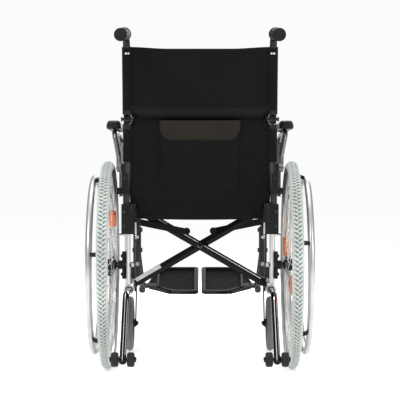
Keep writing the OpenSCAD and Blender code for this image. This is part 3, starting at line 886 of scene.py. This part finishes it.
def seat_pt(x, y, lower_):
    ax = abs(x)
    t = min(y - SY0, SY1 - y)
    e = math.sqrt(min(1.0, max(t, 0.05) / 3.0))
    w = wrap(x, y, 12.1 if lower_ else 12.9 + 4.2 * e * (1 - sm(203, 214, ax)))
    z = seat_top(x, y)
    z = 485.2 + (z - 485.2) * e if not lower_ else min(484.6, z - 3.4) - 0.0
    flat = Vector((x, y, z))
    if w is None:
        return W(*flat)
    k = sm(203, 210, ax)
    return W(*(flat * (1 - k) + w * k))


sx = frange(-202, 202, 6.1)
sx = [-(203 + d) for d in (26, 25, 22, 18, 14, 10, 6, 3)] + sx + [203 + d for d in (3, 6, 10, 14, 18, 22, 25, 26)]
sy = [SY0, SY0 + 0.7, SY0 + 2.4] + frange(SY0 + 6, SY1 - 6, 8) + [SY1 - 2.4, SY1 - 0.7, SY1]
seat = shell("seat_cover", sx, sy, lambda x, y: seat_pt(x, y, False), lambda x, y: seat_pt(x, y, True), "nylon")


def seat_pin(c):
    x, y = abs(c.x * 1000), c.y * 1000 - OY
    if x > 186 or y < SY0 + 8 or y > SY1 - 8:
        return 1.0
    if min(abs(x - 70), abs(x - 140), abs(y - SY0 - 22), abs(y - SY1 + 22)) < 4:
        return 1.0
    return 0.0 if c.z > 0.4835 else 1.0


puff(seat, seat_pin, 1.4, 0.0025)
subdivide(seat)
for o in halves(seat, ("seat_cover_l", "seat_cover_r"), ("seat_left", "seat_right")):
    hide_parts("seat" + o.name[-2:])
for k, side, s in SIDES:
    for i, x in enumerate((67, 73, 137, 143)):
        o = stitches(f"seat_stitch_{i}_{k}", [W(s * x, y, seat_top(x, y) + 0.3) for y in frange(SY0 + 6, SY1 - 6, 6)])
        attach(o, f"seat_{side}")
    for i, y in enumerate((SY0 + 19, SY0 + 25, SY1 - 25, SY1 - 19)):
        o = stitches(f"seat_cross_stitch_{i}_{k}", [W(s * x, y, seat_top(x, y) + 0.3) for x in frange(4, 196, 6)])
        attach(o, f"seat_{side}")
    # screws that hold the cloth to its rail
    for i, y in enumerate(frange(60, 400, 68)):
        bolt(f"seat_screw_{i}_{k}", W(s * 216.5, y, 478.5), (s * 0.92, 0, 0.39), 3.6, "zinc", f"seat_{side}", 1.6)


# ---------------------------------------------------------------- rear tyres
def tyre(name, cx, body, mat, R=305.0, r=16.8, lugs=146):
    per = 8
    n = lugs * per
    prof = []
    for a in (-125, -112, -98, -84, -72, -65, -56, -47, -43, -34, -26, -18, -10, -5, 0, 5, 10, 18, 26, 34, 43, 47, 56, 65, 72, 84, 98, 112, 125):
        prof.append(a)
    bm = bmesh.new()
    rings = []
    cz, mid = R, R - r
    for i in range(n):
        th = 2 * math.pi * i / n
        ring = []
        for a in prof:
            rr = r - 0.05
            aa = abs(a)
            if aa <= 44:
                q = (i + round(aa / 44 * 4) + (4 if a > 0 else 0)) % per
                rr -= 1.7 if q < 2 or (9 < aa < 20 and q < 4) else 0.0
            elif 60 < aa < 70:
                rr -= 0.5
            rad = mid + rr * math.cos(math.radians(a))
            w = rr * math.sin(math.radians(a))
            ring.append((w, rad))
        ring += [(12.3, ring[-1][1]), (12.3, mid - 5.0), (-12.3, mid - 5.0), (-12.3, ring[0][1])]
        rings.append([bm.verts.new(W(cx + w, rad * math.cos(th), cz + rad * math.sin(th))) for w, rad in ring])
    k = len(rings[0])
    for i in range(n):
        A, B = rings[i], rings[(i + 1) % n]
        for j in range(k):
            bm.faces.new((A[j], A[(j + 1) % k], B[(j + 1) % k], B[j]))
    o = new_object(name, bm, mat, True, 32)
    # painted shade: faces sunk into the tread grooves get a darker rubber, standing in for the shade inside them
    o.data.materials.append(M["groove"])
    c = W(cx, 0, cz)
    for f in o.data.polygons:
        v = f.center - c
        w = v.x * 1000
        rad = math.hypot(math.hypot(v.y, v.z) * 1000 - mid, w)
        if abs(w) < 14.2 and rad < r - 0.75 and math.hypot(v.y, v.z) * 1000 > mid + 8:
            f.material_index = 1
    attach(o, body)
    return o


for k, side, s in SIDES:
    o = tyre(f"tyre_tread_{k}", s * 270, f"wheel_{side}", "tyre")
    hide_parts(f"tyre_{k}")
    # valve, hub cap and the spoke flanges' rims
    a = math.radians(200 if s < 0 else 250)
    c = W(s * 270, 261 * math.cos(a), 305 + 261 * math.sin(a))
    ax = Vector((0, -math.cos(a), -math.sin(a)))
    v = lathe(f"valve_{k}", c, ax, [(-2, 0), (-2, 4), (3, 4), (4, 2.6), (22, 2.6), (22.5, 3.1), (32, 3.1), (33, 2.2), (33, 0)], "grip", 20)
    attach(v, f"wheel_{side}")
    for x, h in ((s * 297, 1), (s * 248, -1)):
        cap = lathe(f"hub_cap_{'o' if h > 0 else 'i'}_{k}", W(x, 0, 305), (s * h, 0, 0), [(-4, 0), (-4, 13), (0, 13), (1.6, 12), (2.4, 9.5), (2.6, 4), (1.8, 3.2), (1.8, 0)] if h > 0 else [(-1.5, 0), (-1.5, 14.5), (0, 14.5), (0.7, 13.6), (0.8, 0)], "zinc" if h > 0 else "black", 40)
        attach(cap, f"wheel_{side}")
    # screws of the handrim's stand-offs
    phase = 170.6 if s < 0 else 163.5
    for i in range(6):
        t = math.radians(phase + 60 * i)
        bolt(f"handrim_screw_{i}_{k}", W(s * 258.0, 268.5 * math.cos(t), 305 + 268.5 * math.sin(t)), (-s, 0, 0), 3.0, "zinc", f"wheel_{side}", 1.4)
        q = lathe(f"standoff_{i}_{k}", W(s * 282, 267.5 * math.cos(t), 305 + 267.5 * math.sin(t)), (s, -0.62 * math.cos(t) * 0.33, -0.62 * math.sin(t) * 0.33), [(0, 0), (0, 7.2), (2, 7.8), (8, 6.6), (19, 6.0), (21, 5.2), (21, 0)], "black", 24)
        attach(q, f"wheel_{side}")


# reflectors: moulded lenses clipped across the spokes
for k, side, s in SIDES:
    for i, a0 in enumerate((44, 224) if s < 0 else (14, 194)):
        t = math.radians(a0)
        u, v = Vector((0, math.cos(t), math.sin(t))), Vector((0, -math.sin(t), math.cos(t)))
        thin = s < 0 and i == 1
        c = W(s * (271 if thin else 266), 0, 305)
        bm = bmesh.new()
        rows = []
        for p in frange(-29, 29, 2.9):
            e = 0.72 + 0.28 * math.sqrt(max(0, 1 - (abs(p) / 29) ** 6))
            row = []
            for j in range(28):
                th = 2 * math.pi * j / 28
                x = (8.0 if thin else 12.0) * math.copysign(abs(math.cos(th)) ** 0.6, math.cos(th)) * e
                y = 12.0 * math.copysign(abs(math.sin(th)) ** 0.6, math.sin(th)) * e
                x *= 1 - 0.06 * (round(p / 2.9) % 2)
                row.append(bm.verts.new(c + (u * (190 + y) + v * p + Vector((x, 0, 0))) / 1000))
            rows.append(row)
        for A, B in zip(rows, rows[1:]):
            for j in range(28):
                bm.faces.new((A[j], A[(j + 1) % 28], B[(j + 1) % 28], B[j]))
        bm.faces.new(rows[0])
        bm.faces.new(rows[-1])
        o = new_object(f"reflector_{i}_{k}", bm, "orange", True, 35)
        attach(o, f"wheel_{side}")
        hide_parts(f"reflectors_{k}")


# caster tyres with a moulded parting line and shallow grooves
for k, side, s in SIDES:
    bm = bmesh.new()
    n = 160
    cr, r = 88.0, 12.6
    prof = [(-110, 0), (-96, 0), (-80, 0), (-64, 0), (-60, .5), (-56, 0), (-40, 0), (-28, 0), (-25, .9), (-22, .9), (-19, 0), (-8, 0), (0, 0), (8, 0), (19, 0), (22, .9), (25, .9), (28, 0), (40, 0), (56, 0), (60, .5), (64, 0), (80, 0), (96, 0), (110, 0)]
    rings = []
    for i in range(n):
        th = 2 * math.pi * i / n
        ring = []
        for a, cut in prof:
            rr = r - 0.05 - cut
            ring.append((rr * math.sin(math.radians(a)), cr - r + rr * math.cos(math.radians(a))))
        ring += [(11.25, 68.5), (11.25, 62.3), (-11.25, 62.3), (-11.25, 68.5)]
        rings.append([bm.verts.new(W(s * 228 + w, 435 + q * math.cos(th), 88 + q * math.sin(th))) for w, q in ring])
    kk = len(rings[0])
    for i in range(n):
        A, B = rings[i], rings[(i + 1) % n]
        for j in range(kk):
            bm.faces.new((A[j], A[(j + 1) % kk], B[(j + 1) % kk], B[j]))
    o = new_object(f"caster_ring_{k}", bm, "caster", True, 40)
    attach(o, f"caster_wheel_{side}")
    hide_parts(f"caster_tyre_{k}")
    for h in (-1, 1):
        bolt(f"caster_axle_{h + 1}_{k}", W(s * (228 + h * 26), 435, 88), (s * h, 0, 0), 6.5, "zinc", f"caster_fork_{side}", 3.2)
        for i in range(5):
            t = 2 * math.pi * i / 5
            q = lathe(f"caster_boss_{i}_{h + 1}_{k}", W(s * (228 + h * 4.5), 435 + 34 * math.cos(t), 88 + 34 * math.sin(t)), (s * h, 0, 0), [(0, 0), (0, 8), (2.6, 7.4), (3.0, 6), (2.2, 5), (2.2, 0)], "hub", 22)
            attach(q, f"caster_wheel_{side}")
    o = lathe(f"stem_cap_{k}", W(s * 228, 480, 275), (0, 0, 1), [(-1, 0), (-1, 14.6), (1, 15), (4, 14.2), (6, 11), (7, 5), (7, 0)], "black", 36)
    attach(o, f"frame_{side}")


# ---------------------------------------------------------------- armrest pads
def pad_section(t, e):
    """Rounded pad section at angle t, shrunk by e toward the ends."""
    c, q = math.cos(t), math.sin(t)
    x = 22.0 * math.copysign(abs(c) ** 0.22, c)
    z = 13.0 * math.copysign(abs(q) ** 0.26, q)
    if z > 4:
        x *= 1 - 0.30 * ((z - 4) / 9)
    return x * e, z * (0.35 + 0.65 * e)


for k, side, s in SIDES:
    bm = bmesh.new()
    rings = []
    ys = [0, 1.2, 3.5, 7, 12] + frange(18, 292, 9) + [298, 303, 306.5, 308.8, 310]
    for y in ys:
        d = min(y, 310 - y)
        e = math.sqrt(1 - (1 - min(1, d / 14.0)) ** 2) if d < 14 else 1.0
        e = max(e, 0.08)
        rings.append([bm.verts.new(W(s * 255 + pad_section(2 * math.pi * j / 44, 0.42 + 0.58 * e)[0], 8 + y, 717.8 + pad_section(2 * math.pi * j / 44, e)[1] + 0.35 * nz(y, j, 3 + s, 0.05))) for j in range(44)])
    for A, B in zip(rings, rings[1:]):
        for j in range(44):
            bm.faces.new((A[j], A[(j + 1) % 44], B[(j + 1) % 44], B[j]))
    bm.faces.new(rings[0])
    bm.faces.new(rings[-1])
    o = new_object(f"pad_cover_{k}", bm, "pad", True, 70)
    subdivide(o)
    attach(o, f"arm_{side}")
    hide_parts(f"arm_pad_{k}")
    for i, y in enumerate((70, 256)):
        bolt(f"pad_screw_{i}_{k}", W(s * 253, y, 688), (0, 0, -1), 4.2, "zinc", f"arm_{side}", 2.2)
    for i, (y, z) in enumerate(((44, 520), (44, 652), (262, 520), (262, 652))):
        bolt(f"guard_screw_{i}_{k}", W(s * 239.5, y, z), (s, 0, 0), 3.6, "nut", f"arm_{side}", 1.2)
    bolt(f"arm_bolt_{k}", W(s * 245.4, 0, 590), (s, 0, 0), 7, "zinc", f"frame_{side}", 2.4)


# ---------------------------------------------------------------- small fittings
for k, side, s in SIDES:
    f = f"frame_{side}"
    bolt(f"back_hinge_head_{k}", L(s * 229, 0, 0), (s, 0, 0), 6.6, "nut", f, 1.8)
    bolt(f"back_hinge_nut_{k}", L(s * 195, 0, 0), (-s, 0, 0), 6.6, "nut", f, 1.2, False)
    bolt(f"post_bolt_{k}", W(s * 206, 445, 369), (0, -1, 0), 6.6, "zinc", f, 2.2)
    bolt(f"bracket_bolt_a_{k}", W(s * 223, -25, 462), (0, -1, 0), 5.4, "nut", f, 1.8)
    bolt(f"bracket_bolt_b_{k}", W(s * 223, -23, 420), (0, -1, 0), 4.6, "nut", f, 1.8)
    bolt(f"bracket_bolt_c_{k}", W(s * 201, -18, 474), (0, -1, 0), 4.0, "nut", f, 1.6)
    bolt(f"socket_bolt_{k}", W(s * 221, -20, 560), (0, -1, 0), 4.4, "nut", f, 1.8)
    bolt(f"plate_bolt_a_{k}", W(s * 232, 0, 331), (s, 0, 0), 4.4, "nut", f, 1.6)
    bolt(f"plate_bolt_b_{k}", W(s * 232, 0, 277), (s, 0, 0), 4.4, "nut", f, 1.6)
    bolt(f"axle_end_{k}", W(s * 196, 0, 305), (-s, 0, 0), 7.2, "zinc", f, 1.6)
    for h in (-1, 1):
        bolt(f"antitip_end_{h + 1}_{k}", W(s * (208 + h * 36), -364, 71), (s * h, 0, 0), 5.6, "zinc", f"antitip_{side}", 1.8)
    # end plug on the lower rail behind the axle post
    bolt(f"rail_plug_{k}", W(s * 208, -36, 253.2 - 10), (0, 0, 1), 3.2, "zinc", f, 1.4, False)
# black collars above and below the folding hinge
for k, side, s in SIDES:
    for q, body, z0, h in (("lower", f"frame_{side}", -28, 13.4), ("upper", f"back_top_{side}", 14.4, 13.6)):
        o = lathe(f"hinge_collar_{q}_{k}", L(s * 212, 0, z0), L(0, 0, 1) - L(0, 0, 0), [(0, 10.7), (0, 13.4), (1, 14), (h - 1, 14), (h, 13.4), (h, 10.7), (0, 10.7)], "black", 40)
        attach(o, body)
bolt("centre_nut_rear", W(0, 168, 352.5), (0, -1, 0), 3.6, "nut", "bar_a", 0.9, False)
ring = lathe("centre_ring", W(0, 168.2, 352.5), (0, -1, 0), [(-0.5, 3.8), (-0.5, 6.8), (1.0, 6.6), (1.8, 5.9), (2.0, 4.6), (1.5, 3.8), (-0.5, 3.8)], "chrome", 40)
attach(ring, "bar_a")


def on_bar(flip, y, t, z):
    """A point on a cross bar: t along it from its middle, z across it."""
    a = math.radians(30.085)
    return W(flip * (t * math.cos(a) - z * math.sin(a)), y, 352.5 + t * math.sin(a) + z * math.cos(a))


# painted highlight: a thin bright strip along bar B's upper edge stands in for the light caught there
strip = []
for i in range(41):
    t = -150 + 362 * i / 40
    strip.append(on_bar(-1, 185 - 8.0, -t, 6.4))
o = tube("bar_edge", strip, 0.0013, "edge", 8)
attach(o, "bar_b")

# soft bumpers along the footplates' inner edges
for k, side, s in SIDES:
    a = math.radians(24)
    bm = bmesh.new()
    rings = []
    for y in [-40, -39, -37] + frange(-34, 129, 10) + [132, 134, 135]:
        e = min(1.0, 0.55 + 0.45 * math.sqrt(min(1, min(y + 40, 135 - y) / 4)))
        ring = []
        for j in range(20):
            th = 2 * math.pi * j / 20
            x = 9.5 + 4.2 * math.copysign(abs(math.cos(th)) ** 0.5, math.cos(th)) * e
            z = 1.0 + 7.0 * math.copysign(abs(math.sin(th)) ** 0.4, math.sin(th)) * e
            ring.append(bm.verts.new(W(s * x, 690 + y * math.cos(a) - z * math.sin(a), 186 + y * math.sin(a) + z * math.cos(a))))
        rings.append(ring)
    for A, B in zip(rings, rings[1:]):
        for j in range(20):
            bm.faces.new((A[j], A[(j + 1) % 20], B[(j + 1) % 20], B[j]))
    bm.faces.new(rings[0])
    bm.faces.new(rings[-1])
    o = new_object(f"foot_bumper_{k}", bm, "rimplastic", True, 50)
    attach(o, f"footplate_{side}")

# the footplates' outer wings with a raised lip
def foot_w(s, x, y, z):
    a = math.radians(24)
    return W(s * (198 + x), 690 + y * math.cos(a) - z * math.sin(a), 186 + y * math.sin(a) + z * math.cos(a))


for k, side, s in SIDES:
    edge = [(-100, -39.6), (-92, -39.6), (-56, -20), (-23, -3), (-22, 24), (-30, 50), (-60, 130), (-64, 134.6), (-84, 134.6)]
    inner = [(-84, 128), (-52, 100), (-52, -1), (-70, -20)]
    bm = bmesh.new()
    low = [bm.verts.new(foot_w(s, x, y, -5.6)) for x, y in edge + inner]
    top = [bm.verts.new(foot_w(s, x, y, 2.6)) for x, y in edge + inner]
    n = len(low)
    bm.faces.new(low)
    bm.faces.new(top)
    for i in range(n):
        bm.faces.new((low[i], low[(i + 1) % n], top[(i + 1) % n], top[i]))
    o = new_object(f"foot_wing_{k}", bm, "tray", False)
    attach(o, f"footplate_{side}")
    line = []
    for (x0, y0), (x1, y1) in zip(edge[1:], edge[2:]):
        line += [foot_w(s, x0 + (x1 - x0) * t / 6, y0 + (y1 - y0) * t / 6, 2.8) for t in range(6)]
    o = tube(f"foot_lip_{k}", line, 0.0036, "rimplastic", 12)
    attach(o, f"footplate_{side}")

# pivot bolts at the bars' lower ends, and a blank label on one bar
bolt("pivot_bolt_a", W(-208, 196, 247.6 - 3), (0, -1, 0), 4.6, "zinc", "bar_a", 2)
bolt("pivot_bolt_b", W(208, 148, 247.6 - 3), (0, -1, 0), 4.6, "zinc", "bar_b", 2)
bm = bmesh.new()
rows = []
for i in range(13):
    t = -229 + 92 * i / 12
    row = []
    for z in (0.5, 1.0, 6.0, 11.4, 11.9):
        yy = 205 - (8.7 - 2.4 * z / 12.5)
        row.append((t, yy, z))
    rows.append(row)
n = len(rows[0])
A = [[bm.verts.new(on_bar(1, y - 0.28, t, z)) for t, y, z in r] for r in rows]
B = [[bm.verts.new(on_bar(1, y + 0.05, t, z)) for t, y, z in r] for r in rows]
for i in range(len(rows) - 1):
    for j in range(n - 1):
        bm.faces.new((A[i][j], A[i + 1][j], A[i + 1][j + 1], A[i][j + 1]))
        bm.faces.new((B[i][j], B[i][j + 1], B[i + 1][j + 1], B[i + 1][j]))
    bm.faces.new((A[i][0], B[i][0], B[i + 1][0], A[i + 1][0]))
    bm.faces.new((A[i][-1], A[i + 1][-1], B[i + 1][-1], B[i][-1]))
for j in range(n - 1):
    bm.faces.new((A[0][j], A[0][j + 1], B[0][j + 1], B[0][j]))
    bm.faces.new((A[-1][j], B[-1][j], B[-1][j + 1], A[-1][j + 1]))
o = new_object("bar_label", bm, "label", False)
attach(o, "bar_a")


# ---------------------------------------------------------------- floor and light
bm = bmesh.new()
bmesh.ops.create_circle(bm, cap_ends=True, radius=40, segments=96)
floor = new_object("floor", bm, "label", False)
fm = Mat("floor_paper").set(Roughness=0.9, Specular_IOR_Level=0.1, Emission_Color=(1, 1, 1), Emission_Strength=0.36)
fm.color(fm.ramp(fm.noise(3, 3), [(0.3, (0.93, 0.93, 0.93)), (0.7, (0.95, 0.95, 0.95))]))
floor.data.materials.clear()
floor.data.materials.append(fm.m)
floor.location.z = -0.0005

world = bpy.data.worlds.new("studio")
scene.world = world
world.use_nodes = True
wt = world.node_tree
seen = wt.nodes["Background"]
seen.inputs["Color"].default_value = (1, 1, 1, 1)
seen.inputs["Strength"].default_value = 0.97
lit = wt.nodes.new("ShaderNodeBackground")
lit.inputs["Strength"].default_value = 0.85
geo = wt.nodes.new("ShaderNodeTexCoord")
sep = wt.nodes.new("ShaderNodeSeparateXYZ")
wt.links.new(geo.outputs["Generated"], sep.inputs[0])
up = wt.nodes.new("ShaderNodeValToRGB")
e = up.color_ramp.elements
e[0].position, e[0].color = 0.0, (0.16, 0.16, 0.16, 1)
e[1].position, e[1].color = 0.9, (0.95, 0.95, 0.95, 1)
for pos, c in ((0.42, 0.10), (0.52, 0.13), (0.62, 0.42), (0.74, 0.62)):
    q = e.new(pos)
    q.color = (c, c, c, 1)
half = wt.nodes.new("ShaderNodeMath")
half.operation = "MULTIPLY_ADD"
half.inputs[1].default_value = 0.5
half.inputs[2].default_value = 0.5
wt.links.new(sep.outputs[2], half.inputs[0])
wt.links.new(half.outputs[0], up.inputs["Fac"])
wt.links.new(up.outputs["Color"], lit.inputs["Color"])
path = wt.nodes.new("ShaderNodeLightPath")
pick = wt.nodes.new("ShaderNodeMixShader")
wt.links.new(path.outputs["Is Camera Ray"], pick.inputs["Fac"])
wt.links.new(lit.outputs[0], pick.inputs[1])
wt.links.new(seen.outputs[0], pick.inputs[2])
wt.links.new(pick.outputs[0], wt.nodes["World Output"].inputs["Surface"])
scene.view_settings.view_transform = "Standard"


def area(name, loc, target, size, power, size_y=None):
    d = bpy.data.lights.new(name, "AREA")
    d.energy = power
    d.shape = "RECTANGLE"
    d.size = size
    d.size_y = size_y or size
    o = bpy.data.objects.new(name, d)
    scene.collection.objects.link(o)
    o.location = loc
    o.rotation_euler = (Vector(target) - Vector(loc)).to_track_quat("-Z", "Y").to_euler()
    return o


area("key", (-1.9, -2.8, 2.7), (0, -0.1, 0.5), 1.3, 62)
area("fill", (2.6, -2.2, 1.5), (0, 0, 0.5), 0.9, 34, 1.8)
area("top", (0, 0.6, 3.4), (0, 0, 0.4), 2.2, 60)
area("back", (0.6, 3.2, 1.6), (0, 0, 0.5), 1.6, 40)
